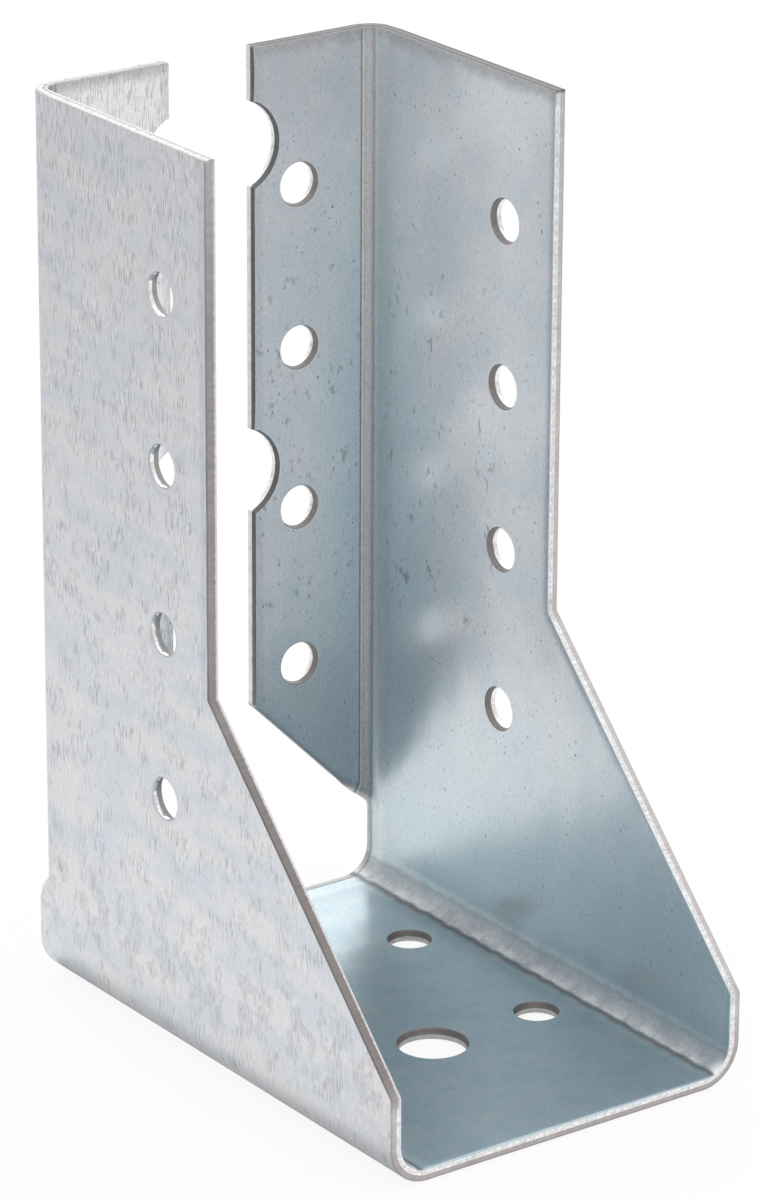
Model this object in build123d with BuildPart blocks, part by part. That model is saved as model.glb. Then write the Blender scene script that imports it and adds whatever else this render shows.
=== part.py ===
from build123d import *
import math
import os

# Joist hanger: one sheet, punched flat and folded four times into a seat, two side
# plates and two header flanges that turn inward behind the joist.
# Frame: mm, +Z up, X across the hanger; the joist end enters from -Y toward +Y.
# The origin is the middle of the footprint, on the underside of the seat.

# ---- sheet ----------------------------------------------------------------
sheet = 1.5                 # sheet thickness
seat_bend_radius = 3.5      # inner radius of the folds between seat and side plates
flange_bend_radius = 2.0    # inner radius of the folds between side plates and flanges

# ---- overall sizes --------------------------------------------------------
joist_clear_width = 46.0    # between the inner faces of the side plates
height = 109.0              # underside of the seat to the top edge
depth = 71.0                # header face to the front edge of the seat
upper_depth = 36.0          # header face to the upper front edge of a side plate
flange_width = 18.75        # outer face of a side plate to its flange's free edge
rear_setback = 0.5          # header face to the rear edge of the seat and the feet

# ---- slanted edges --------------------------------------------------------
front_slant_top = 46.5      # height where the front edge starts to slope forward
front_slant_foot = 11.0     # height where the slope meets the low front edge
flange_foot = 27.25         # height of the lower corner of a flange's free edge
flange_slant = 45.0         # fall of a flange's lower edge toward its fold, degrees
foot_top = 10.0             # top of the unfolded foot behind each side plate

# ---- nail holes in the side plates and flanges ----------------------------
nail_hole_d = 5.0           # hole diameter
nail_rows = 4               # holes in a column
nail_pitch = 20.0           # hole to hole in a column
nail_lowest = 31.5          # height of the lowest hole
side_nail_setback = 27.0    # header face to the column in a side plate
flange_nail_x = 12.25       # centre plane to the column in a flange

# ---- part-round notches in the free edges of the flanges ------------------
notch_d = 11.0              # punch diameter
notch_x = 3.75              # centre plane to the punch centre
notch_lowest = 57.25        # height of the lower notch
notch_pitch = 40.0          # lower notch to upper notch

# ---- seat holes -----------------------------------------------------------
seat_nail_x = 15.0          # centre plane to the nail holes
seat_nail_setback = 45.5    # header face to the front pair
seat_nail_pitch = 25.0      # front pair to rear pair
seat_hole_d = 8.0           # larger hole on the centre plane, in line with the front pair

# ---- punched rims ---------------------------------------------------------
rim_roll = 0.15             # rounding of a round hole's rim on the sheet's outer side

# ---- derived --------------------------------------------------------------
width = joist_clear_width + 2 * sheet
half_width = width / 2
half_clear = joist_clear_width / 2
header_y = depth / 2
front_y = -depth / 2
upper_front_y = header_y - upper_depth
foot_y = header_y - rear_setback
seat_outer_radius = seat_bend_radius + sheet
flange_outer_radius = flange_bend_radius + sheet
fold_y = header_y - flange_outer_radius
flange_edge_x = half_width - flange_width
flange_drop = flange_width * math.tan(math.radians(flange_slant))
nail_mid_z = nail_lowest + (nail_rows - 1) * nail_pitch / 2
notch_mid_z = notch_lowest + notch_pitch / 2
side_nail_y = header_y - side_nail_setback
seat_hole_y = header_y - seat_nail_setback
seat_nail_mid_y = seat_hole_y + seat_nail_pitch / 2

os.makedirs("parts", exist_ok=True)

with BuildPart() as folded_hanger:
    # One flange with its fold, as an L seen from above, up to the end of the side plate.
    with BuildSketch(Plane.XY) as flange_section:
        with Locations((half_width, header_y)):
            Rectangle(flange_width, flange_outer_radius, align=(Align.MAX, Align.MAX))
        with Locations((half_clear, header_y - sheet)):
            Rectangle(
                flange_width, flange_outer_radius,
                align=(Align.MAX, Align.MAX), mode=Mode.SUBTRACT,
            )
        outer_corner = flange_section.vertices().sort_by(Axis.X)[-2:].sort_by(Axis.Y)[-1]
        fillet(outer_corner, flange_outer_radius)
        inner_corner = flange_section.vertices().sort_by_distance(
            (half_clear, header_y - sheet)
        )[0]
        fillet(inner_corner, flange_bend_radius)
    extrude(amount=height)

    # The flange's lower edge slopes down toward the fold.
    with BuildSketch(Plane.XZ.offset(-header_y)):
        with BuildLine():
            Polyline(
                (flange_edge_x, 0),
                (flange_edge_x, flange_foot),
                (half_width, flange_foot - flange_drop),
                (half_width, 0),
                close=True,
            )
        make_face()
    extrude(amount=flange_outer_radius, mode=Mode.SUBTRACT)
    mirror(about=Plane.YZ)

    # The U of seat and side plates. It is full height as far as the flange folds, and
    # runs on behind them as a low foot that is left unfolded.
    for y_start, y_end, z_top in ((front_y, fold_y, height), (fold_y, foot_y, foot_top)):
        with BuildSketch(Plane.XZ.offset(-y_end)) as u_section:
            Rectangle(width, z_top, align=(Align.CENTER, Align.MIN))
            fillet(u_section.vertices().group_by(Axis.Y)[0], seat_outer_radius)
            with Locations((0, sheet)):
                Rectangle(
                    joist_clear_width, z_top,
                    align=(Align.CENTER, Align.MIN), mode=Mode.SUBTRACT,
                )
            floor_corners = [
                corner for corner in u_section.vertices()
                if abs(corner.Y - sheet) < sheet / 2 and abs(corner.X) > seat_nail_x
            ]
            fillet(floor_corners, seat_bend_radius)
        extrude(amount=y_end - y_start)

    # Front edges: upright at the top, sloping forward, then upright at the seat.
    with BuildSketch(Plane.YZ):
        with BuildLine():
            Polyline(
                (front_y, front_slant_foot),
                (upper_front_y, front_slant_top),
                (upper_front_y, height),
                (front_y, height),
                close=True,
            )
        make_face()
    extrude(amount=half_width, both=True, mode=Mode.SUBTRACT)

    # Nail holes through both side plates.
    with BuildSketch(Plane.YZ):
        with Locations((side_nail_y, nail_mid_z)):
            with GridLocations(nail_pitch, nail_pitch, 1, nail_rows):
                Circle(nail_hole_d / 2)
    extrude(amount=half_width, both=True, mode=Mode.SUBTRACT)

    # Nail holes and edge notches in both flanges.
    with BuildSketch(Plane.XZ.offset(-header_y)):
        with Locations((0, nail_mid_z)):
            with GridLocations(2 * flange_nail_x, nail_pitch, 2, nail_rows):
                Circle(nail_hole_d / 2)
        with Locations((0, notch_mid_z)):
            with GridLocations(2 * notch_x, notch_pitch, 2, 2):
                Circle(notch_d / 2)
    extrude(amount=flange_outer_radius, mode=Mode.SUBTRACT)

    # Two pairs of nail holes and one larger hole in the seat.
    with BuildSketch(Plane.XY):
        with Locations((0, seat_nail_mid_y)):
            with GridLocations(2 * seat_nail_x, seat_nail_pitch, 2, 2):
                Circle(nail_hole_d / 2)
        with Locations((0, seat_hole_y)):
            Circle(seat_hole_d / 2)
    extrude(amount=sheet, mode=Mode.SUBTRACT)

    # The punch enters from the outer side of the sheet and draws each round rim in.
    punched_radii = (nail_hole_d / 2, seat_hole_d / 2)
    outer_rims = [
        rim for rim in folded_hanger.edges().filter_by(GeomType.CIRCLE)
        if round(rim.radius, 3) in punched_radii and (
            abs(rim.arc_center.X) > half_clear + sheet / 2
            or rim.arc_center.Y > header_y - sheet / 2
            or rim.arc_center.Z < sheet / 2
        )
    ]
    fillet(outer_rims, rim_roll)

folded_hanger.part.label = "joist_hanger"
export_step(folded_hanger.part, "parts/joist_hanger.step")
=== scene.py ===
import math
from functools import reduce

import bpy
from mathutils import Matrix, Vector
from mathutils.geometry import delaunay_2d_cdt


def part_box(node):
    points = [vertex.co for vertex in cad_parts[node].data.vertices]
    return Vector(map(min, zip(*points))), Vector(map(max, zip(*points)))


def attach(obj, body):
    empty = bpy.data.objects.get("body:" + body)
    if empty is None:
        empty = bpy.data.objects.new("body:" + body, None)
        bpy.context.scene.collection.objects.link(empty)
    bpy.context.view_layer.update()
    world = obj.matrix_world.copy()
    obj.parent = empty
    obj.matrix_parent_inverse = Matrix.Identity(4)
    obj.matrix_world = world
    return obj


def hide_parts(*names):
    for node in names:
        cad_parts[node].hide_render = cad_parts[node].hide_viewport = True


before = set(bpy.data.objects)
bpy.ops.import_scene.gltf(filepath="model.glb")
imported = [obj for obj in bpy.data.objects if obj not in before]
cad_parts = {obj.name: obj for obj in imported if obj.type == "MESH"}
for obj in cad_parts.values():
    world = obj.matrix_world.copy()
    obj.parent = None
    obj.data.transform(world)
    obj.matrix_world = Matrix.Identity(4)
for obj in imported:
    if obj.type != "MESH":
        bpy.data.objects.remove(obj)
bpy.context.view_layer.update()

bl_info = {
    "name": "Joist hanger",
    "version": (1, 0, 0),
    "blender": (4, 5, 0),
    "location": "View3D > Sidebar > Hanger",
    "description": "Punches a flat galvanised blank and folds it into a joist hanger",
    "category": "Object",
}

LOW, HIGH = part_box("joist_hanger")
MM = 0.001

# How an edge was cut, as the number that the surface pattern reads from the mesh
SHEARED, FREE, PUNCHED = 0.0, 0.5, 1.0

# Points on the outline, in the folds and on the flats, and round a notch or a hole
FINE_STEP, COARSE_STEP = 0.42 * MM, 2.4 * MM
NOTCH_STEPS, NAIL_HOLE_STEPS, LARGE_HOLE_STEPS = 30, 56, 72
LARGE_HOLE = 3 * MM  # radius from which a hole is large
# Rows of points over the folds
SEAT_ROWS, FLANGE_ROWS = 15, 13
ROW_STEP, FOOT_ROW_STEP = 2.0 * MM, 0.5 * MM
ROW_LEAN = 0.05 * MM  # how much further on each row starts
FROM_FRONT, FROM_FOOT, FOOT_ROWS_END = 1.6 * MM, 3.5 * MM, 20 * MM
FACE_MARGIN = 0.22 * MM  # bare strip between the rows and an edge
CHANGE_GAP = 0.2 * MM  # between the two points where the kind of cut changes
CHANGE_INSET = 0.16 * MM  # limit of a cut's inset there
SHARPEST_MITRE = 0.25  # limit of how far a corner is drawn out
TINY = 1e-9
SHARP_ANGLE = math.radians(48)

# Heights between which a flange fold grows from none to full
FADE_START, FADE_END = 10.0 * MM, 14.8 * MM

# The rolled part of a cut: share of its reach, share of its roll, zone
ROLL = (
    (1.35, 0.0, 0.0), (1.0, 0.0, 0.0), (0.75, 0.03, 0.08), (0.52, 0.10, 0.16),
    (0.34, 0.19, 0.25), (0.22, 0.28, 0.34), (0.13, 0.40, 0.50), (0.06, 0.58, 0.68),
    (0.02, 0.78, 0.85), (0.0, 1.0, 1.0),
)
# Where a cut's tear meets the far face: how far past the tear's own inset, zone
TEAR_FOOT = ((0.05 * MM, 3.0), (0.10 * MM, 0.0), (0.45 * MM, 0.0))
# Each kind of cut: reach of the roll, inset of the tear, and the share of half the
# thickness where the tear starts
EDGE_CUT = (1.05 * MM, 0.07 * MM, 0.05)
HOLE_CUT = (0.85 * MM, 0.17 * MM, 0.05)
FREE_CUT = (0.78 * MM, 0.16 * MM, -0.05)

# The skin over a fold's arc, as rows of (share of the arc, rubbed, creased, matt, last), and
# the shares looked at. The creased number is painted shade. The last number is a painted
# highlight along a ridge in a seat fold, and painted light on the skin before the crushed
# band in a flange fold.
SEAT_RANGE, FLANGE_RANGE = (-0.4, 1.3), (-1.2, 1.2)
SEAT_BAND = (
    (-0.20, 0, 0, 0, 0), (0.03, 0, 0, 0.4, 0), (0.12, 0, 0.26, 1, 0), (0.19, 0, 0.70, 1, 0),
    (0.235, 0, 0.74, 1, 0), (0.28, 0.8, 0.15, 1, 0.5), (0.31, 1, 0, 1, 1),
    (0.38, 1, 0, 1, 0.7), (0.50, 0.90, 0, 1, 0.25), (0.64, 0.66, 0, 1, 0),
    (0.70, 0.45, 0.12, 1, 0), (0.755, 0.15, 0.28, 1, 0), (0.80, 0, 0.16, 1, 0),
    (0.85, 0, 0.04, 0.7, 0), (0.98, 0, 0, 0.2, 0), (1.30, 0, 0, 0, 0),
)
FLANGE_BAND = (
    (-1.20, 0, 0, 0, 0), (-0.30, 0, 0, 0.6, 0.1), (0.00, 0, 0, 1, 0.6), (0.38, 0, 0.08, 1, 0.6),
    (0.43, 0, 0.40, 1, 0), (0.475, 0.2, 0.45, 1, 0), (0.53, 0.8, 0.10, 1, 0),
    (0.60, 1, 0, 1, 0), (0.88, 1, 0, 1, 0), (0.915, 0.8, 0.35, 1, 0), (0.945, 0, 0.80, 1, 0),
    (0.965, 0, 0.55, 0.8, 0), (1.00, 0, 0, 0.3, 0), (1.10, 0, 0, 0, 0),
)
# Share of a flange fold's arc where a painted highlight line runs
FLANGE_HIGHLIGHT_LINE = 0.875

# Roughness of each skin, and its relief in millimetres
INNER_ROUGH, OUTER_ROUGH, CRUSHED_ROUGH, DRAWN_ROUGH = 0.279, 0.38, 0.52, 0.55
EDGE_BURNISH_ROUGH, HOLE_BURNISH_ROUGH, TORN_ROUGH = 0.26, 0.12, 0.58
WAVE_HEIGHT, GRAIN_HEIGHT = 0.060, 0.0025
OUTER_SHIFT = 43.0  # between the patterns of the two sides

# Stage
WHITE, FLOOR_PAINT = (1, 1, 1, 1), (0.9, 0.9, 0.9, 1)
FLOOR_SIDE, FLOOR_DROP = 0.25, 0.0002
FLOOR_WHITE = 0.90  # share of the floor that hides shadows
FAR_FLOOR_GLOW = 0.64
PANEL_WAY = Vector((0.55, 0.755, 0.357))  # to the extra light facing the camera


# ---- Sizes and colours a user would change ----
def number(name, description, default, **more):
    return bpy.props.FloatProperty(name=name, description=description, default=default, **more)


def length(name, description, millimetres):
    return number(name, description, millimetres * MM, unit="LENGTH", precision=5, step=0.01)


def angle(name, description, degrees):
    return number(name, description, math.radians(degrees), subtype="ANGLE")


def colour(name, description, default):
    return bpy.props.FloatVectorProperty(
        name=name, description=description, default=default,
        subtype="COLOR", size=3, min=0.0, max=1.0,
    )


class HangerSheetSizes(bpy.types.PropertyGroup):
    sheet: length("Sheet", "Sheet thickness", 1.5)
    seat_bend: length("Seat bend", "Inner radius of the two seat folds", 3.5)
    flange_bend: length("Flange bend", "Inner radius of the two flange folds", 2.0)
    upper_depth: length("Upper depth", "Header face to the upper front edge", 36.0)
    flange_width: length("Flange width", "Side plate to the flange's free edge", 18.75)
    rear_setback: length("Rear setback", "Header face to the rear edge of the seat", 0.5)
    slant_top: length("Slant top", "Height where the front edge starts to slope", 46.5)
    slant_foot: length("Slant foot", "Height where the slope meets the low edge", 11.0)
    flange_foot: length("Flange foot", "Lower corner of the flange's free edge", 27.25)
    nail_hole: length("Nail hole", "Diameter of a nail hole", 5.0)
    nail_pitch: length("Nail pitch", "Hole to hole in a column", 20.0)
    nail_lowest: length("Lowest nail", "Height of the lowest hole in a column", 31.5)
    side_setback: length("Side nails", "Header face to the side column", 27.0)
    flange_nail_x: length("Flange nails", "Centre plane to the flange column", 12.25)
    notch: length("Notch", "Punch diameter of the part-round notches", 11.0)
    notch_x: length("Notch centre", "Centre plane to the notch punch", 3.75)
    notch_lowest: length("Lowest notch", "Height of the lower notch", 57.25)
    notch_pitch: length("Notch pitch", "Lower notch to upper notch", 40.0)
    seat_nail_x: length("Seat nails", "Centre plane to the seat nail holes", 15.0)
    seat_nail_setback: length("Seat front pair", "Header face to the front pair", 45.5)
    seat_nail_pitch: length("Seat pitch", "Front pair to rear pair", 25.0)
    seat_hole: length("Seat hole", "Diameter of the larger seat hole", 8.0)
    edge_roll: length("Edge roll", "How far the shear draws an outline edge down", 0.20)
    hole_roll: length("Hole roll", "How far the punch draws a hole rim down", 0.22)


class HangerFinish(bpy.types.PropertyGroup):
    clean_metal: number("Clean metal", "Share of the inner skin that is bare metal", 0.82,
                        min=0.0, max=1.0)
    inner_warm: colour("Inner warm", "Warmer clouds of the inner skin", (0.765, 0.782, 0.805))
    inner_blue: colour("Inner blue", "Bluer clouds of the inner skin", (0.688, 0.748, 0.790))
    fold_teal: colour("Fold teal", "Skin beside the folds", (0.640, 0.750, 0.795))
    seat_teal: colour("Seat", "Skin of the seat", (0.445, 0.565, 0.625))
    seat_grey: colour("Seat clouds", "Greyer clouds on the seat", (0.500, 0.575, 0.615))
    outer_warm: colour("Outer warm", "Warmer bands of the outer skin", (0.795, 0.793, 0.808))
    outer_blue: colour("Outer blue", "Bluer bands of the outer skin", (0.710, 0.742, 0.792))
    outer_high: colour("Outer high", "Upper part of the outer skin", (0.640, 0.635, 0.680))
    # Painted light: a near-white colour that brightens the left flange's inner skin
    far_flange_painted_light: colour("Left flange", "Inner skin of the left flange", (0.98, 0.99, 1.0))
    zinc_dull: colour("Dull zinc", "Rubbed streaks in the skin", (0.30, 0.295, 0.315))
    stain: colour("Stain", "Dried stains low on the outside", (0.50, 0.50, 0.50))
    speck: colour("Speck", "Small dark handling marks", (0.13, 0.14, 0.15))
    rubbed: colour("Rubbed", "Crushed skin inside a seat fold", (0.49, 0.505, 0.53))
    rubbed_dark: colour("Rubbed dark", "Darker part of the crushed skin", (0.385, 0.40, 0.425))
    fold_rubbed: colour("Rubbed flange fold", "Crushed skin in a flange fold",
                        (0.58, 0.575, 0.58))
    # Painted highlights: a line along the crushed band of a seat fold, a glint at its front end
    # and a line along each flange fold
    ridge_highlight: colour("Ridge", "Bright lines along the crushed skin", (0.92, 0.93, 0.94))
    # Painted light on the skin just before a flange fold's crushed band
    beyond: colour("Eased skin", "Skin beside a flange's crushed band", (0.86, 0.93, 0.96))
    # In the folds this colour is painted shade; along the cuts and at a flange's foot it draws
    # dark lines
    crease: colour("Crease", "Dark lines in the folds and along the cuts", (0.14, 0.13, 0.12))
    hem: colour("Hem", "Brushed skin at the free edge and the flange's ends",
                (0.50, 0.47, 0.49))
    left_hem: colour("Left hem", "Brushed skin by the left front edge", (0.50, 0.545, 0.62))
    burnish: colour("Burnish", "Sheared, polished part of a cut edge", (0.94, 0.94, 0.94))
    burnish_dark: colour("Burnish dark", "Scuffs in the burnish", (0.72, 0.715, 0.72))
    free_burnish: colour("Free edge", "Burnish of the free and left edges", (0.70, 0.665, 0.68))
    fracture: colour("Fracture", "Torn part of a cut edge", (0.66, 0.62, 0.62))
    fracture_dark: colour("Fracture dark", "Torn part where it is dull", (0.27, 0.245, 0.235))
    drawn: colour("Drawn skin", "Dull skin drawn down along the top", (0.33, 0.315, 0.325))
    drawn_light: colour("Drawn light", "Paler flecks along the top", (0.54, 0.525, 0.54))
    drawn_cut: colour("Top cut", "Dulled cut edge along the top", (0.17, 0.16, 0.15))


class HangerStage(bpy.types.PropertyGroup):
    lens: number("Lens", "Focal length of the camera", 173.68, unit="CAMERA")
    camera_place: bpy.props.FloatVectorProperty(
        name="Camera place", description="Where the camera stands",
        default=(-0.36053, -0.49484, 0.28687), subtype="TRANSLATION", precision=5,
    )
    camera_heading: angle("Heading", "Camera heading, clockwise from +Y", 36.03)
    camera_dip: angle("Dip", "How far the camera looks down", 20.911)
    camera_roll: angle("Roll", "Turn about the viewing axis", -0.276)
    front_glow: number("Front glow", "Studio light from the front", 0.78)
    back_glow: number("Back glow", "Studio light from behind the object", 0.98)
    panel_glow: number("Panel glow", "Extra light facing the camera", 0.70)
    top_glow: number("Top glow", "Extra light from overhead", 0.35)


# ---- Node helpers ----
class Wiring:
    """Adds nodes to one tree and joins them."""

    def __init__(self, tree):
        self.tree = tree

    def feed(self, socket, value):
        if isinstance(value, bpy.types.NodeSocket):
            self.tree.links.new(value, socket)
        else:
            socket.default_value = value

    def add(self, kind, *values, **settings):
        """A node with its first inputs fed in order."""
        node = self.tree.nodes.new(kind)
        for name, value in settings.items():
            setattr(node, name, value)
        for socket, value in zip(node.inputs, values):
            self.feed(socket, value)
        return node

    def filled(self, kind, **inputs):
        """A node with inputs fed by name; an underscore stands for a space."""
        node = self.add(kind)
        for name, value in inputs.items():
            self.feed(node.inputs[name.replace("_", " ")], value)
        return node

    def math(self, operation, *values):
        return self.add("ShaderNodeMath", *values, operation=operation).outputs[0]

    def vector(self, operation, *values):
        node = self.add("ShaderNodeVectorMath", *values, operation=operation)
        return node.outputs["Value" if operation in {"DOT_PRODUCT", "LENGTH"} else "Vector"]

    def scaled(self, vector, factor):
        node = self.add("ShaderNodeVectorMath", vector, operation="SCALE")
        self.feed(node.inputs["Scale"], factor)
        return node.outputs[0]

    def split(self, vector):
        return self.add("ShaderNodeSeparateXYZ", vector).outputs

    def join(self, x, y, z):
        return self.add("ShaderNodeCombineXYZ", x, y, z).outputs[0]

    def total(self, *values):
        return reduce(lambda a, b: self.math("ADD", a, b), values)

    def times(self, *factors):
        return reduce(lambda a, b: self.math("MULTIPLY", a, b), factors)

    def most(self, *values):
        return reduce(lambda a, b: self.math("MAXIMUM", a, b), values)

    def rest(self, share):
        return self.math("SUBTRACT", 1.0, share)

    def about(self, value, size):
        """A 0 to 1 pattern as a small change either way."""
        return self.math("MULTIPLY", self.math("SUBTRACT", value, 0.5), size)

    def span(self, value, low, high, to_low=0.0, to_high=1.0, smooth=False):
        return self.add(
            "ShaderNodeMapRange", value, low, high, to_low, to_high,
            interpolation_type="SMOOTHSTEP" if smooth else "LINEAR",
        ).outputs[0]

    def near(self, value, centre, far, close):
        """1 where the value is within close of the centre, down to 0 at far from it."""
        away = self.math("ABSOLUTE", self.math("SUBTRACT", value, centre))
        return self.span(away, far, close)

    def noise(self, place, detail, rough=0.5):
        node = self.filled("ShaderNodeTexNoise", Vector=place, Scale=1.0, Detail=detail,
                           Roughness=rough)
        node.noise_dimensions = "2D"
        return node.outputs["Fac"]

    def ramp(self, value, stops):
        """Four numbers at once for a place along a line, from (place, numbers) stops. The
        first three come back joined, the fourth apart."""
        node = self.add("ShaderNodeValToRGB", value)
        elements = node.color_ramp.elements
        for i, (place, numbers) in enumerate(stops):
            element = elements[i] if i < len(elements) else elements.new(place)
            element.position = place
            element.color = numbers
        return node.outputs[0], node.outputs[1]

    def mix(self, share, a, b):
        """Two colours mixed; each is a socket or three numbers."""
        node = self.add("ShaderNodeMix", data_type="RGBA")
        self.feed(node.inputs["Factor"], share)
        for socket, value in zip(node.inputs[6:8], (a, b)):
            plain = not isinstance(value, bpy.types.NodeSocket)
            self.feed(socket, (*value, 1.0) if plain else value)
        return node.outputs[2]

    def coats(self, skin, *coats):
        """The skin with coats of (share, colour) laid over it in turn."""
        return reduce(lambda under, coat: self.mix(coat[0], under, coat[1]), coats, skin)

    def blend(self, share, a, b):
        node = self.add("ShaderNodeMix", data_type="FLOAT")
        self.feed(node.inputs["Factor"], share)
        for socket, value in zip(node.inputs[2:4], (a, b)):
            self.feed(socket, value)
        return node.outputs[0]

    def mix_shader(self, share, a, b):
        node = self.add("ShaderNodeMixShader", share, a.outputs[0], b.outputs[0])
        return node.outputs[0]


def fresh_material(name):
    material = bpy.data.materials.new(name)
    material.use_nodes = True
    material.node_tree.nodes.clear()
    wiring = Wiring(material.node_tree)
    output = wiring.add("ShaderNodeOutputMaterial")
    return material, wiring, output


def linked(name, data):
    """A new object with the given data, in the scene."""
    item = bpy.data.objects.new(name, data)
    bpy.context.collection.objects.link(item)
    return item


# ---- The flat blank ----
def on_circle(centre_u, centre_v, radius, turn):
    return centre_u + radius * math.cos(turn), centre_v + radius * math.sin(turn)


def arc_points(start, end, centre_u, centre_v, radius):
    """Points the short way round a punch from start to end, without the end."""
    first = math.atan2(start[1] - centre_v, start[0] - centre_u)
    last = math.atan2(end[1] - centre_v, end[0] - centre_u)
    if last < first:
        last += 2 * math.pi
    if last - first > math.pi:
        last -= 2 * math.pi
    return [
        on_circle(centre_u, centre_v, radius, first + (last - first) * i / NOTCH_STEPS)
        for i in range(NOTCH_STEPS)
    ]


class Blank:
    """Where everything lies on the flat sheet. u runs across the strip, from the middle of
    the seat up the sides; v runs from the seat's front edge to a flange's free edge; n goes
    through the sheet, up on the side that ends up inside the hanger."""

    def __init__(self, sizes):
        s = self.sizes = sizes
        self.half = s.sheet / 2
        self.front = LOW[1]
        self.header = HIGH[1]
        self.seat_neutral = s.seat_bend + self.half
        self.flange_neutral = s.flange_bend + self.half
        self.seat_flat = HIGH[0] - s.sheet - s.seat_bend
        self.seat_arc = self.seat_neutral * math.pi / 2
        self.wall = self.seat_flat + self.seat_arc
        self.fold = self.header - s.sheet - s.flange_bend
        self.flange_arc = self.flange_neutral * math.pi / 2
        self.flange = self.fold + self.flange_arc
        self.flange_flat_x = HIGH[0] - s.sheet - s.flange_bend
        self.rear = self.header - s.rear_setback
        self.upper_front = self.header - s.upper_depth
        self.side_v = self.header - s.side_setback
        self.free = self.across(HIGH[0] - s.flange_width)
        self.top = self.up(HIGH[2])

    def up(self, height):
        """u of a height on a side plate."""
        return self.wall + height - (self.sizes.sheet + self.sizes.seat_bend)

    def across(self, x):
        """v of a distance from the centre plane on a flange."""
        return self.flange + self.flange_flat_x - x

    def outline(self):
        """The right half of the outline from the seat's front middle to its rear middle, as
        runs of (start, end, cut, punch). The sheared runs are rolled on the inner side of
        the sheet, the free edges and the notches on the outer side. A notch also carries
        the centre and radius of its punch."""
        s = self.sizes
        corner_drop = self.up(s.flange_foot) - (self.free - self.rear)
        corners = [
            (0.0, self.front), (self.up(s.slant_foot), self.front),
            (self.up(s.slant_top), self.upper_front), (self.top, self.upper_front),
            (self.top, self.free),
        ]
        runs = [(start, end, SHEARED, None) for start, end in zip(corners, corners[1:])]
        at = corners[-1]
        centre_v = self.across(s.notch_x)
        radius = s.notch / 2
        half_mouth = math.sqrt(radius ** 2 - (centre_v - self.free) ** 2)
        for row in (1, 0):
            centre_u = self.up(s.notch_lowest + row * s.notch_pitch)
            mouth = (centre_u + half_mouth, self.free)
            runs.append((at, mouth, FREE, None))
            at = (centre_u - half_mouth, self.free)
            runs.append((mouth, at, PUNCHED, (centre_u, centre_v, radius)))
        foot = (self.up(s.flange_foot), self.free)
        corner = (corner_drop, self.rear)
        runs.append((at, foot, FREE, None))
        runs.append((foot, corner, SHEARED, None))
        runs.append((corner, (0.0, self.rear), SHEARED, None))
        return runs

    def spacing(self, u, v):
        """Fine in the folds, coarse on the flats."""
        in_seat_fold = self.seat_flat - MM < u < self.wall + MM
        in_flange_fold = self.fold - MM < v < self.flange + MM
        return FINE_STEP if in_seat_fold or in_flange_fold else COARSE_STEP

    def perimeter(self):
        """The whole outline as a closed list of (u, v, cut, tight). Where the kind of cut
        changes at a corner, the points on both sides of the change are close and tight."""
        right = []
        runs = self.outline()
        cuts = [run[2] for run in runs]
        tight = False
        for (start, end, cut, punch), next_cut in zip(runs, cuts[1:] + cuts[-1:]):
            if punch:
                for u, v in arc_points(start, end, *punch):
                    right.append((u, v, cut, tight))
                    tight = False
                continue
            run = math.dist(start, end)
            last = run if cut == next_cut else run - CHANGE_GAP
            place = 0.0
            while place < run - TINY:
                share = place / run
                u = start[0] + (end[0] - start[0]) * share
                v = start[1] + (end[1] - start[1]) * share
                change = last < run and place > last - TINY
                right.append((u, v, cut, tight or change))
                tight = change
                step = self.spacing(u, v)
                left = last - place
                if left > 1.5 * step:
                    place += step
                else:
                    place = last if left > TINY else run
        right.append((0.0, self.rear, SHEARED, False))
        left = [(-u, v, cut, tight) for u, v, cut, tight in reversed(right[1:-1])]
        return right + left

    def holes(self):
        """Centre and radius of every round hole."""
        s = self.sizes
        small = s.nail_hole / 2
        found = []
        for sign in (-1, 1):
            for row in range(4):
                u = sign * self.up(s.nail_lowest + row * s.nail_pitch)
                found.append((u, self.side_v, small))
                found.append((u, self.across(s.flange_nail_x), small))
            for pair in (0, 1):
                v = self.header - s.seat_nail_setback + pair * s.seat_nail_pitch
                found.append((sign * s.seat_nail_x, v, small))
        found.append((0.0, self.header - s.seat_nail_setback, s.seat_hole / 2))
        return found


def shear_profile(half, roll, reach, torn, tear):
    """One cut edge from the rolled side to the torn side, as (inset, depth through the
    sheet, zone). The face sinks a little over the reach and turns over near the edge.
    Zones: 0 sheet face, 1 rolled, 2 burnished, 3 torn."""
    steps = [(reach * inset, half - roll * sink, zone) for inset, sink, zone in ROLL]
    steps += [
        (0.0, (half - roll) * 0.5 + tear * half * 0.5, 1.5),
        (0.0, tear * half, 2.0),
        (torn * 0.35, (tear - 0.17) * half, 2.45),
        (torn * 0.75, -0.60 * half, 2.8),
        (torn, -0.93 * half, 3.0),
    ]
    return steps + [(torn + past, -half, zone) for past, zone in TEAR_FOOT]


def turned(profile):
    """The same cut made from the other side of the sheet."""
    return [(inset, -depth, zone) for inset, depth, zone in reversed(profile)]


def tightened(profile):
    """The same cut with every inset kept well under the gap between two close points."""
    return [(inset * CHANGE_INSET / (inset + CHANGE_INSET), depth, zone)
            for inset, depth, zone in profile]


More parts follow.
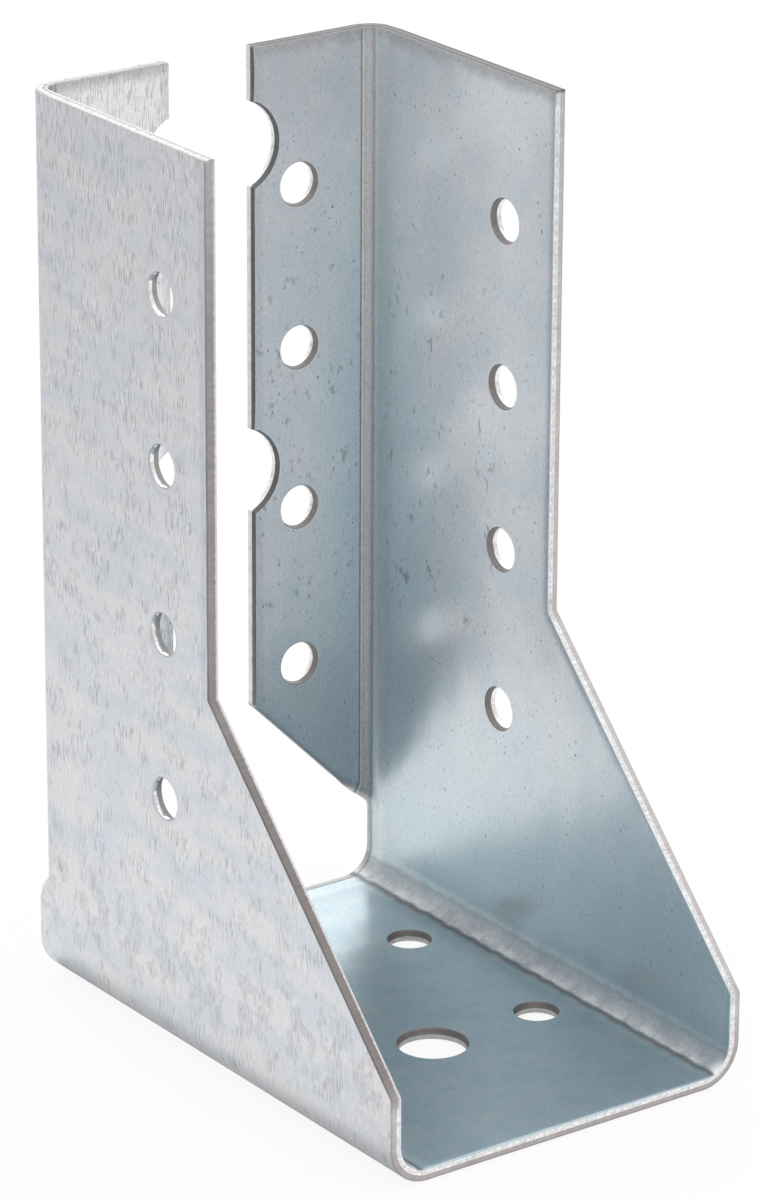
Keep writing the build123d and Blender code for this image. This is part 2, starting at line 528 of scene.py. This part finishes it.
def loop_rings(points, profiles, clockwise=False):
    """Offsets a closed loop into the sheet by every step of its points' profiles. Returns
    rings of (u, v, n, zone), from the inner side of the sheet to the outer side."""
    count = len(points)
    inward = []
    for i in range(count):
        before, here, after = points[i - 1], points[i], points[(i + 1) % count]
        a = Vector((here[0] - before[0], here[1] - before[1])).normalized()
        b = Vector((after[0] - here[0], after[1] - here[1])).normalized()
        left_a, left_b = Vector((-a.y, a.x)), Vector((-b.y, b.x))
        middle = (left_a + left_b).normalized()
        middle /= max(middle.dot(left_a), SHARPEST_MITRE)
        inward.append(-middle if clockwise else middle)
    rings = []
    for step in range(len(profiles[0])):
        ring = []
        for point, way, profile in zip(points, inward, profiles):
            inset, depth, zone = profile[step]
            ring.append((point[0] + way.x * inset, point[1] + way.y * inset, depth, zone))
        rings.append(ring)
    return rings


def inside(point, loop):
    """True if the point is inside the closed loop."""
    hit = False
    for (u0, v0), (u1, v1) in zip(loop, loop[1:] + loop[:1]):
        if (v0 > point[1]) != (v1 > point[1]):
            if point[0] < u0 + (point[1] - v0) * (u1 - u0) / (v1 - v0):
                hit = not hit
    return hit


def fold_rows(blank):
    """Points in the folds, in straight rows along each fold line. Each row starts a little
    further on, so that all triangles lean the same way and shade evenly."""
    points = []
    for i in range(-1, SEAT_ROWS + 2):
        u = blank.seat_flat + blank.seat_arc * i / SEAT_ROWS
        v = blank.front + FROM_FRONT + ROW_LEAN * i
        while v < blank.rear:
            points += [(u, v), (-u, v)]
            v += ROW_STEP
    low = blank.up(blank.sizes.sheet + blank.sizes.seat_bend + FROM_FOOT)
    for i in range(-1, FLANGE_ROWS + 2):
        v = blank.fold + blank.flange_arc * i / FLANGE_ROWS
        u = low + ROW_LEAN * i
        while u < blank.top:
            points += [(u, v), (-u, v)]
            u += FOOT_ROW_STEP if u < blank.up(FOOT_ROWS_END) else ROW_STEP
    return points


def fill_face(loops, rows):
    """Triangles of one sheet face: the first loop is its outline, the others its holes.
    Returns the extra points and the triangles, numbered through all loops, then extras."""
    flat = [(u, v) for loop in loops for u, v, _, _ in loop]
    edges = []
    start = 0
    for loop in loops:
        size = len(loop)
        edges += [(start + i, start + (i + 1) % size) for i in range(size)]
        start += size
    outline = [(u, v) for u, v, _, _ in loops[0]]
    rounds = []
    for loop in loops[1:]:
        centre = Vector((0, 0))
        for u, v, _, _ in loop:
            centre += Vector((u, v)) / len(loop)
        rounds.append((centre, (Vector(loop[0][:2]) - centre).length))

    def on_sheet(point, gap):
        if not inside(point, outline):
            return False
        return all((Vector(point) - c).length > r + gap for c, r in rounds)

    def clear_of_outline(point):
        return all(
            (point[0] - q[0]) ** 2 + (point[1] - q[1]) ** 2 > FACE_MARGIN ** 2
            for q in outline
        )

    extras = [p for p in rows if on_sheet(p, FACE_MARGIN) and clear_of_outline(p)]
    scale = 1 / MM
    places = [Vector((u * scale, v * scale)) for u, v in flat + extras]
    points, _, faces, origins = delaunay_2d_cdt(places, edges, [], 0, 1e-6)[:4]
    number = [group[0] if group else None for group in origins]
    if any(n is None for n in number):
        raise RuntimeError("two cut edges of the blank cross")
    triangles = []
    for face in faces:
        middle = sum((points[i] for i in face), Vector((0, 0))) / len(face) / scale
        if on_sheet((middle.x, middle.y), 0.0):
            a, b, c = (points[i] for i in face)
            turn = (b - a).cross(c - a)
            order = face if turn > 0 else face[::-1]
            triangles.append([number[i] for i in order])
    return extras, triangles


def build_blank(blank):
    """The punched flat blank as a mesh, x along u, y along v, z through the sheet."""
    s = blank.sizes
    edge = shear_profile(blank.half, s.edge_roll, *EDGE_CUT)
    rim = shear_profile(blank.half, s.hole_roll, *HOLE_CUT)
    free_edge = shear_profile(blank.half, s.hole_roll, *FREE_CUT)
    outline = blank.perimeter()
    wide = {SHEARED: edge, FREE: turned(free_edge), PUNCHED: turned(free_edge)}
    profiles = [tightened(wide[cut]) if tight else wide[cut] for _, _, cut, tight in outline]
    sets = [loop_rings([p[:2] for p in outline], profiles)]
    cuts_of_sets = [[p[2] for p in outline]]
    for centre_u, centre_v, radius in blank.holes():
        count = NAIL_HOLE_STEPS if radius < LARGE_HOLE else LARGE_HOLE_STEPS
        circle = [
            on_circle(centre_u, centre_v, radius, 2 * math.pi * i / count)
            for i in range(count)
        ]
        sets.append(loop_rings(circle, [turned(rim)] * count, clockwise=True))
        cuts_of_sets.append([PUNCHED] * count)

    vertices, zones, cuts, faces, numbers = [], [], [], [], []
    for rings, loop_cuts in zip(sets, cuts_of_sets):
        ring_numbers = []
        for ring in rings:
            ring_numbers.append(range(len(vertices), len(vertices) + len(ring)))
            vertices += [(u, v, n) for u, v, n, _ in ring]
            zones += [zone for _, _, _, zone in ring]
            cuts += loop_cuts
        for inner, outer in zip(ring_numbers, ring_numbers[1:]):
            for i in range(len(inner)):
                j = (i + 1) % len(inner)
                quad = (inner[i], outer[i], outer[j], inner[j])
                faces.append(quad[::-1] if numbers else quad)
        numbers.append(ring_numbers)
    rows = fold_rows(blank)
    for level, height in ((0, blank.half), (-1, -blank.half)):
        loops = [rings[level] for rings in sets]
        ids = [n for ring_numbers in numbers for n in ring_numbers[level]]
        extras, triangles = fill_face(loops, rows)
        ids += list(range(len(vertices), len(vertices) + len(extras)))
        vertices += [(u, v, height) for u, v in extras]
        zones += [0.0] * len(extras)
        cuts += [SHEARED] * len(extras)
        for triangle in triangles:
            real = [ids[i] for i in triangle]
            faces.append(real if level == 0 else real[::-1])

    mesh = bpy.data.meshes.new("folded_sheet")
    mesh.from_pydata(vertices, [], faces)
    mesh.validate()
    place = mesh.attributes.new("flat_place", "FLOAT_VECTOR", "POINT")
    place.data.foreach_set("vector", [x for vertex in vertices for x in vertex])
    for name, values in (("cut_zone", zones), ("cut_kind", cuts)):
        mesh.attributes.new(name, "FLOAT", "POINT").data.foreach_set("value", values)
    return mesh


# ---- The folds, as a Geometry Nodes rule ----
def folded(w, place, height, line, radius, turned_by, lift=0.0):
    """A place along the sheet and a height above its middle line, after a fold past the
    line. The whole result can be lifted."""
    past = w.most(w.math("SUBTRACT", place, line), 0.0)
    arc = w.math("MINIMUM", past, w.times(radius, turned_by))
    turn = w.math("DIVIDE", arc, radius)
    beyond = w.math("SUBTRACT", past, arc)
    own = w.math("SUBTRACT", radius, height)
    sine, cosine = w.math("SINE", turn), w.math("COSINE", turn)
    along = w.math("MULTIPLY_ADD", own, sine, w.times(beyond, cosine))
    above = w.math("SUBTRACT", radius, w.times(own, cosine))
    return (w.total(w.math("MINIMUM", place, line), along),
            w.total(above, w.math("MULTIPLY_ADD", beyond, sine, lift)))


def fold_tree(blank, material):
    """Folds the flanges, then the seat. A point keeps its distance from the sheet's middle
    line, so the outside of each fold stretches and the inside closes up. The flange folds
    fade out over a few millimetres above the unfolded feet."""
    tree = bpy.data.node_groups.new("fold_sheet", "GeometryNodeTree")
    for way in ("INPUT", "OUTPUT"):
        tree.interface.new_socket("Geometry", in_out=way, socket_type="NodeSocketGeometry")
    inputs = {
        "Sheet Thickness": blank.sizes.sheet,
        "Seat Half Width": blank.seat_flat,
        "Seat Bend Radius": blank.seat_neutral,
        "Flange Fold Line": blank.fold,
        "Flange Bend Radius": blank.flange_neutral,
        "Fade Start": blank.up(FADE_START),
        "Fade End": blank.up(FADE_END),
        "Header Face": blank.header,
        "Fold": math.pi / 2,
    }
    for name, value in inputs.items():
        socket = tree.interface.new_socket(name, in_out="INPUT", socket_type="NodeSocketFloat")
        socket.default_value = value
    w = Wiring(tree)
    source = w.add("NodeGroupInput").outputs
    u, v, n = w.split(w.add("GeometryNodeInputPosition").outputs[0])
    reach = w.math("ABSOLUTE", u)

    fade = w.span(reach, source["Fade Start"], source["Fade End"], smooth=True)
    y, height = folded(w, v, n, source["Flange Fold Line"], source["Flange Bend Radius"],
                       w.times(source["Fold"], fade))
    y = w.math("MINIMUM", y, source["Header Face"])
    lift = w.times(source["Sheet Thickness"], 0.5)
    x, z = folded(w, reach, height, source["Seat Half Width"], source["Seat Bend Radius"],
                  source["Fold"], lift)
    x = w.times(x, w.math("SIGN", u))

    move = w.filled("GeometryNodeSetPosition", Geometry=source["Geometry"],
                    Position=w.join(x, y, z))
    real = w.filled("GeometryNodeRealizeInstances", Geometry=move.outputs[0])
    finish = w.filled("GeometryNodeSetMaterial", Geometry=real.outputs[0], Material=material)
    w.filled("NodeGroupOutput", Geometry=finish.outputs[0])
    return tree


def settled(source, tree, name):
    """The tree's result on the source mesh, as a plain object."""
    flat = linked(name + "_flat", source)
    modifier = flat.modifiers.new("fold", "NODES")
    modifier.node_group = tree
    for item in tree.interface.items_tree:
        if item.in_out == "INPUT" and item.socket_type == "NodeSocketFloat":
            modifier[item.identifier] = item.default_value
    bpy.context.view_layer.update()
    graph = bpy.context.evaluated_depsgraph_get()
    mesh = bpy.data.meshes.new_from_object(flat.evaluated_get(graph))
    bpy.data.objects.remove(flat)
    mesh.name = name
    return linked(name, mesh)


# ---- Galvanised sheet ----
class Pattern:
    """What the parts of the surface pattern share. Everything follows the flat blank in
    millimetres: reach is the way from the middle of the seat up a side, v and n are as on
    the blank. Masks are shares from 0 to 1. The skin and its roughness grow part by part."""

    def __init__(self, w, blank):
        self.w, self.blank, self.top = w, blank, blank.top / MM
        flat = w.add("ShaderNodeAttribute", attribute_name="flat_place").outputs["Vector"]
        self.zone = w.add("ShaderNodeAttribute", attribute_name="cut_zone").outputs["Fac"]
        self.kind = w.add("ShaderNodeAttribute", attribute_name="cut_kind").outputs["Fac"]
        self.u, self.v, self.n = w.split(w.scaled(flat, 1 / MM))
        self.reach = w.math("ABSOLUTE", self.u)
        self.outer = w.span(self.n, -0.55, -0.75)
        self.inner = w.rest(self.outer)
        self.inside_face = w.span(self.n, 0.45, 0.6)
        self.left = w.span(self.u, -30, -34)
        self.right = w.rest(self.left)
        self.seat = w.span(self.reach, 30, 22)
        shifted = w.total(self.v, w.times(self.outer, OUTER_SHIFT))
        self.own_place = w.join(self.u, shifted, 0)
        self.patch = self.noise(0.30, 0.20, 2, 0.70)
        self.fine = self.noise(5.6, 0.42, 1, 0.65)
        self.grain = self.noise(8, 1.6, 0)
        self.mottle = self.noise(2.9, 2, 1, 0.75)

    def noise(self, across, along, detail, rough=0.5):
        """Noise of a given fineness across the strip and along the rolling lines, on each
        side of the sheet from another place."""
        place = self.w.vector("MULTIPLY", self.own_place, (along, across, 0))
        return self.w.noise(place, detail, rough)

    def coat(self, *coats):
        self.skin = self.w.coats(self.skin, *coats)

    def across_fold(self, place, start, arc, band, limits):
        """The four numbers of a band over the arc of a fold, on the inner face only."""
        w = self.w
        low, high = limits
        start, arc = start / MM, arc / MM
        size = (high - low) * arc
        share = w.math("MULTIPLY_ADD", place, 1 / size, -(start + low * arc) / size)
        stops = [((at - low) / (high - low), numbers) for at, *numbers in band]
        three, fourth = w.ramp(share, stops)
        return (*w.split(w.scaled(three, self.inside_face)), w.times(fourth, self.inside_face))


# Each part below takes the pattern p, its wiring w and the finish f
def zinc(p, w, f):
    """The zinc itself: its colour, how rough it is and how light or dark, with painted light on
    the left flange and painted shade beside the flange folds.
    """
    reach, v, outer, inner, patch, top = p.reach, p.v, p.outer, p.inner, p.patch, p.top

    # Cloudy patches, and on the outer side faint bands across the strip
    cloud = p.noise(0.17, 0.15, 1, 0.55)
    bands = p.noise(0.075, 0.25, 1, 0.66)
    # Fine lines along the rolling direction, worn darker in patches
    high = w.span(reach, top - 64, top)
    worn = w.span(w.math("MULTIPLY_ADD", high, 0.10, patch), 0.44, 0.60)
    streaks = w.times(w.span(p.fine, 0.49, 0.62), worn)
    # Small dark marks, and more of them in the middle of a side
    patchy = w.span(patch, 0.46, 0.62)
    spots = w.span(p.noise(2.3, 1.25, 1, 0.60), 0.72, 0.77)
    spots = w.times(spots, patchy, w.span(reach, 27, 33))
    marked = w.times(w.span(v, 2, 10), w.span(reach, 50, 62), w.span(reach, 112, 96))
    marks = w.span(p.noise(0.95, 0.48, 1, 0.85), 0.62, 0.72)
    spots = w.most(spots, w.times(marks, patchy, marked, 0.60))
    # Dried stains low on the outside
    low_down = w.times(w.span(reach, 27, 30), w.span(reach, 42, 35), outer)
    tide = w.times(w.near(patch, 0.53, 0.035, 0.004), 0.22)
    tide = w.math("MULTIPLY_ADD", w.span(patch, 0.50, 0.56), 0.20, tide)

    by_fold = w.times(w.span(v, 18, 31), w.span(v, 44, 36), w.span(reach, 118, 82))
    inner_tone = w.coats(
        w.mix(w.span(cloud, 0.32, 0.68), f.inner_warm, f.inner_blue),
        (w.times(w.most(by_fold, w.span(reach, 58, 34)), 0.85), f.fold_teal),
        (p.seat, w.mix(w.span(patch, 0.36, 0.62), f.seat_teal, f.seat_grey)),
    )
    outer_tone = w.mix(w.span(bands, 0.36, 0.64), f.outer_warm, f.outer_blue)
    outer_tone = w.mix(w.times(high, 0.30), outer_tone, f.outer_high)
    # Painted light: the left flange's inner skin made near-white, with its own share of streaks
    far_flange_painted_light = w.times(w.span(v, 35, 38), w.span(p.u, -50, -60), inner)
    streak_share = w.blend(outer, w.blend(far_flange_painted_light, 0.08, 0.50), 0.52)
    p.skin = w.coats(
        w.mix(outer, inner_tone, outer_tone),
        (far_flange_painted_light, f.far_flange_painted_light),
        (w.times(streaks, streak_share), f.zinc_dull),
        (w.times(spots, w.blend(outer, 0.75, 0.35)), f.speck),
        (w.times(tide, low_down), f.stain),
    )
    shade = w.total(
        w.about(p.grain, 0.16),
        w.about(p.mottle, w.blend(outer, 0.20, 0.06)),
        w.about(p.fine, w.blend(outer, 0.20, 0.26)),
        w.about(patch, w.blend(outer, 0.14, 0.28)),
        1,
    )
    # Painted shade: the inner skin darker towards the flange folds
    p.shade = w.math("SUBTRACT", shade, w.times(by_fold, inner, 0.05))
    p.rough = w.total(w.blend(outer, INNER_ROUGH, OUTER_ROUGH), w.times(streaks, outer, 0.10))


def fold_bands(p, w, f):
    """Rubbed bands on the inner side of the folds, with painted shade in their creases,
    painted highlights, and painted light before the flange folds' crushed bands.
    """
    blank = p.blank
    wander = w.about(p.noise(0.55, 0.60, 0), 0.45)
    seat_rubbed, seat_crease, seat_matt, ridge_highlight = p.across_fold(
        w.total(p.reach, wander), blank.seat_flat, blank.seat_arc, SEAT_BAND, SEAT_RANGE
    )
    # The fourth number of the flange fold's band is painted light
    fold_rubbed, fold_crease, fold_matt, beyond = p.across_fold(
        w.math("MULTIPLY_ADD", wander, 0.15, p.v),
        blank.fold, blank.flange_arc, FLANGE_BAND, FLANGE_RANGE
    )
    # Painted highlights: along a ridge, at the seat folds' front ends and in a line by the
    # flange fold
    front = blank.front / MM
    by_front = w.span(p.v, front + 1.7, front + 0.5)
    highlight_v = (blank.fold + FLANGE_HIGHLIGHT_LINE * blank.flange_arc) / MM
    bright = w.most(
        w.times(ridge_highlight, w.span(p.patch, 0.35, 0.60, 0.25, 0.65)),
        w.times(seat_rubbed, by_front, w.span(p.reach, 24.8, 22.6)),
        w.times(w.near(p.v, highlight_v, 0.20, 0.06), p.inside_face, 0.8),
    )
    dark_to_light = w.total(w.about(p.mottle, 0.7), p.patch)
    band = w.coats(
        w.mix(w.span(dark_to_light, 0.22, 0.78), f.rubbed_dark, f.rubbed),
        (w.times(fold_rubbed, w.span(p.mottle, 0.1, 0.6, 0.4, 1)), f.fold_rubbed),
        (bright, f.ridge_highlight),
    )
    rubbed = w.times(w.most(seat_rubbed, fold_rubbed), 0.92)
    creased = w.most(seat_crease, fold_crease)
    # Painted light before the flange folds' crushed bands, the crushed bands with their painted
    # highlights, then painted shade in the creases
    p.coat((beyond, f.beyond), (rubbed, band), (creased, f.crease))
    p.rough = w.blend(w.most(seat_matt, fold_matt), p.rough, CRUSHED_ROUGH)


def cut_edges(p, w, f):
    """Cut edges: burnished next to the rolled side, torn on the other, with painted highlight
    lines along the burnish's two borders. The tear is darker in the holes and notches, low
    down, along the top and on the left."""
    reach, v, zone, kind, top = p.reach, p.v, p.zone, p.kind, p.top
    cut = p.cut = w.span(zone, 0.80, 1.05)
    sheared = p.sheared = w.span(kind, 0.25, 0.10)
    free = w.near(kind, FREE, 0.35, 0.15)
    punched = w.span(kind, 0.70, 0.90)
    p.top_edge = w.times(w.span(reach, top - 0.5, top - 0.1), sheared)
    p.left_side = w.times(p.left, w.span(v, 33, 31))
    left_sheared = w.times(p.left, sheared)

    along = w.times(w.total(reach, v), w.blend(punched, 1.5, 0.9))
    through = w.times(p.n, w.blend(punched, 3, 2.8))
    scuff = p.scuff = w.noise(w.join(along, through, 0), 1, 0.65)
    p.ragged = w.total(zone, w.about(scuff, w.blend(sheared, 0.20, 0.36)))
    burnish_end = w.blend(left_sheared, w.blend(free, 2, 2.32), 1.3)
    past_burnish = w.math("SUBTRACT", p.ragged, burnish_end)
    torn = w.span(past_burnish, 0, 0.22)

    # Scuffs only inside the burnish, so its two borders stay bright as painted highlight lines
    scuffed = w.span(scuff, w.blend(sheared, 0.42, 0.34), w.blend(sheared, 0.76, 0.56))
    scuffed = w.times(scuffed, w.span(zone, 1.02, 1.12), w.span(zone, 1.98, 1.84))
    greyer = w.times(left_sheared, w.rest(p.top_edge), 0.75)
    burnish = w.mix(scuffed, f.burnish, f.burnish_dark)
    burnish = w.mix(w.most(w.times(free, 0.8), greyer), burnish, f.free_burnish)
    # The tear darker in the holes and notches, on the left, along the top and low down
    dull = w.most(
        w.times(w.rest(sheared), w.blend(p.left_side, 0.85, 0.50)),
        w.times(left_sheared, w.span(reach, 74, 60, 0.62, 0.92),
                w.span(reach, top - 2, top - 20, 0.45, 1)),
        w.span(reach, 31, 24, 0, 0.42),
    )
    at_free_edge = w.times(w.span(v, 47.65, 48), w.span(reach, 45, 75, 0.25, 0.75))
    fracture = w.mix(dull, f.fracture, f.fracture_dark)
    fracture = w.mix(at_free_edge, fracture, f.speck)
    tear_line = w.times(w.near(past_burnish, 0.12, 0.14, 0.02), w.rest(sheared),
                        w.blend(p.left_side, 0.55, 0.15))
    edge = w.mix(tear_line, w.mix(torn, burnish, fracture), f.crease)

    # Brushed skin beside some of the cuts, and a dark line at the foot of a flange
    hem = w.times(w.span(v, 50, 50.6), p.inner, w.span(p.fine, 0.36, 0.58, 0.08, 0.42))
    left_hem = w.times(w.span(v, 1, 0.5), w.span(reach, 66, 70), p.outer, p.left, 0.40)
    ends = w.most(w.span(reach, top - 15, top - 2, 0, 0.27), w.span(reach, 58, 49, 0, 0.22))
    ends = w.times(ends, w.span(v, 34, 38), p.inner, p.right)
    foot = w.times(w.span(v, 34, 35), w.span(reach, 48.9, 48.2), p.inner)
    foot = w.times(foot, w.span(zone, 0.15, 0.60), 0.6)
    p.coat((hem, f.hem), (left_hem, f.left_hem), (ends, f.hem), (cut, edge), (foot, f.crease))
    burnish_rough = w.blend(sheared, HOLE_BURNISH_ROUGH, EDGE_BURNISH_ROUGH)
    cut_rough = w.blend(torn, burnish_rough, TORN_ROUGH)
    p.rough = w.blend(cut, p.rough, cut_rough)


def top_band(p, w, f):
    """A dull band along the top, with dark lines along both sides of the cut. On the left
    it is only on the inner side, and the outer side of the cut is bright."""
    zone = p.zone
    from_top = w.total(w.math("SUBTRACT", p.top, p.reach), w.about(p.patch, 1.8))
    left_depth = w.span(zone, 2.1, 1.6, 0, 0.55)
    drawn = w.times(
        w.span(from_top, 1.9, 0.7), p.inner, p.sheared,
        w.most(w.rest(p.cut), p.top_edge), w.span(zone, 0.15, 0.8, 0.50, 0.90),
        w.blend(p.left_side, 1, left_depth),
    )
    speckle = w.blend(p.cut, w.span(p.mottle, 0.1, 0.9), p.scuff)
    speckled = w.mix(speckle, f.drawn, f.drawn_light)
    speckled = w.mix(w.times(p.cut, p.right), speckled, f.drawn_cut)
    arris = w.most(w.near(zone, 0.95, 0.28, 0.08), w.span(zone, 2.40, 2.70))
    bright = w.times(p.top_edge, p.left, w.span(p.ragged, 1.9, 2.3),
                     w.span(p.scuff, 0.2, 0.6, 0.15, 0.60))
    lines = w.times(arris, p.top_edge, p.right, 0.90)
    p.coat((drawn, speckled), (lines, f.crease), (bright, f.burnish))
    p.rough = w.blend(w.times(drawn, p.right), p.rough, DRAWN_ROUGH)


def shader(p, w, f):
    """The skin, shaded, on metal with a slow waviness and the grain."""
    height = w.times(p.noise(0.20, 0.13, 0), WAVE_HEIGHT)
    height = w.math("MULTIPLY_ADD", p.grain, GRAIN_HEIGHT, height)
    bump = w.filled("ShaderNodeBump", Distance=MM, Height=height)
    bare = w.most(p.outer, w.times(p.seat, 0.5))
    return w.filled(
        "ShaderNodeBsdfPrincipled",
        Metallic=w.blend(bare, f.clean_metal, 1),
        Base_Color=w.scaled(p.skin, p.shade),
        Roughness=p.rough,
        Normal=bump.outputs[0],
    )


def galvanised_sheet(blank, finish):
    """Zinc with mottling and rolling streaks, rubbed bands in the folds, and cut edges that
    are part burnished and part torn."""
    material, w, output = fresh_material("galvanised_sheet")
    pattern = Pattern(w, blank)
    for part in (zinc, fold_bands, cut_edges, top_band):
        part(pattern, w, finish)
    w.feed(output.inputs["Surface"], shader(pattern, w, finish).outputs[0])
    return material


# ---- The stage ----
def studio_world(stage):
    """Soft light that is brightest behind the object and overhead, seen as white."""
    world = bpy.data.worlds.new("studio")
    world.use_nodes = True
    world.node_tree.nodes.clear()
    w = Wiring(world.node_tree)
    way = w.add("ShaderNodeTexCoord").outputs["Generated"]
    across, ahead, rise = w.split(way)
    glow = w.total(
        w.span(w.total(across, ahead), -0.6, 0.9, stage.front_glow, stage.back_glow),
        w.span(w.vector("DOT_PRODUCT", way, PANEL_WAY), 0.70, 0.92, 0.0, stage.panel_glow),
        w.span(rise, 0.45, 1.0, 0.0, stage.top_glow),
    )
    # Below the horizon it carries on from the floor's far edge
    below = w.span(rise, -0.20, -0.08, 0.88, FAR_FLOOR_GLOW)
    glow = w.blend(w.math("LESS_THAN", rise, 0.0), glow, below)
    soft = w.filled("ShaderNodeBackground", Color=WHITE, Strength=glow)
    plain = w.filled("ShaderNodeBackground", Color=WHITE, Strength=1.0)
    seen = w.add("ShaderNodeLightPath").outputs["Is Camera Ray"]
    w.filled("ShaderNodeOutputWorld", Surface=w.mix_shader(seen, soft, plain))
    return world


def pale_floor():
    """A floor that shows white, and keeps a soft part of the object's shadow. In mirrors its
    glow fades with distance, and close beside the object it is dimmed as a painted shadow."""
    mesh = bpy.data.meshes.new("floor")
    corners = ((-1, -1), (1, -1), (1, 1), (-1, 1))
    mesh.from_pydata(
        [(x * FLOOR_SIDE, y * FLOOR_SIDE, 0) for x, y in corners], [], [(0, 1, 2, 3)]
    )
    floor = linked("floor", mesh)
    floor.location.z = -FLOOR_DROP
    material, w, output = fresh_material("white_floor")
    path = w.add("ShaderNodeLightPath").outputs
    place = w.add("ShaderNodeTexCoord").outputs["Object"]
    x, y, _ = w.split(w.vector("ABSOLUTE", place))
    # Painted shadow: the floor's glow in mirrors dimmed close beside the object
    beside = w.span(x, HIGH[0] - 5 * MM, HIGH[0] + 9 * MM, 0.32, 1.0)
    dim = w.times(
        w.span(w.vector("LENGTH", place), 0.02, 0.60, 1.04, FAR_FLOOR_GLOW),
        w.most(beside, w.math("GREATER_THAN", y, HIGH[1])),
    )
    glow = w.blend(path["Is Glossy Ray"], 1.0, dim)
    paint = w.filled("ShaderNodeBsdfDiffuse", Color=FLOOR_PAINT)
    white = w.filled("ShaderNodeEmission", Color=WHITE, Strength=glow)
    seen = w.most(path["Is Camera Ray"], path["Is Glossy Ray"], path["Is Transmission Ray"])
    mixed = w.mix_shader(w.times(seen, FLOOR_WHITE), paint, white)
    w.feed(output.inputs["Surface"], mixed)
    mesh.materials.append(material)
    return floor


def studio_camera(stage):
    data = bpy.data.cameras.new("camera")
    data.lens = stage.lens
    data.sensor_width = 36.0
    data.clip_start, data.clip_end = 0.01, 20.0
    heading, dip, roll = stage.camera_heading, stage.camera_dip, stage.camera_roll
    ahead = Vector((math.sin(heading) * math.cos(dip),
                    math.cos(heading) * math.cos(dip), -math.sin(dip)))
    right = Vector((math.cos(heading), -math.sin(heading), 0))
    down = ahead.cross(right)
    right, down = (right * math.cos(roll) + down * math.sin(roll),
                   down * math.cos(roll) - right * math.sin(roll))
    turn = Matrix((right, -down, -ahead)).transposed().to_4x4()
    camera = linked("camera", data)
    camera.matrix_world = Matrix.Translation(stage.camera_place) @ turn
    return camera


# ---- Operators and panel ----
class HANGER_OT_fold_sheet(bpy.types.Operator):
    """Punch the flat blank, fold it into the hanger and give it its zinc skin"""

    bl_idname = "hanger.fold_sheet"
    bl_label = "Fold the sheet"

    def execute(self, context):
        blank = Blank(context.scene.hanger_sizes)
        material = galvanised_sheet(blank, context.scene.hanger_finish)
        piece = settled(build_blank(blank), fold_tree(blank, material), "folded_sheet")
        piece.data.shade_smooth()
        piece.data.set_sharp_from_angle(angle=SHARP_ANGLE)
        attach(piece, "root")
        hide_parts("joist_hanger")
        return {"FINISHED"}


class HANGER_OT_stage(bpy.types.Operator):
    """Set the floor, the studio light and the camera"""

    bl_idname = "hanger.stage"
    bl_label = "Set the stage"

    def execute(self, context):
        scene, stage = context.scene, context.scene.hanger_stage
        scene.view_settings.view_transform = "Standard"
        scene.world = studio_world(stage)
        pale_floor()
        scene.camera = studio_camera(stage)
        return {"FINISHED"}


class HANGER_PT_panel(bpy.types.Panel):
    """Lists the steps and the sizes of the hanger"""

    bl_label = "Joist hanger"
    bl_idname = "HANGER_PT_panel"
    bl_space_type = "VIEW_3D"
    bl_region_type = "UI"
    bl_category = "Hanger"

    def draw(self, context):
        layout = self.layout
        layout.operator("hanger.fold_sheet")
        layout.operator("hanger.stage")
        for group in GROUPS:
            settings = getattr(context.scene, group)
            column = layout.box().column()
            for name in settings.__annotations__:
                column.prop(settings, name)


GROUPS = {
    "hanger_sizes": HangerSheetSizes,
    "hanger_finish": HangerFinish,
    "hanger_stage": HangerStage,
}
CLASSES = (*GROUPS.values(), HANGER_OT_fold_sheet, HANGER_OT_stage, HANGER_PT_panel)


def register():
    for item in CLASSES:
        bpy.utils.register_class(item)
    for name, group in GROUPS.items():
        setattr(bpy.types.Scene, name, bpy.props.PointerProperty(type=group))


def unregister():
    for name in GROUPS:
        delattr(bpy.types.Scene, name)
    for item in reversed(CLASSES):
        bpy.utils.unregister_class(item)


def main():
    register()
    bpy.ops.hanger.fold_sheet()
    bpy.ops.hanger.stage()


if __name__ == "__main__":
    main()
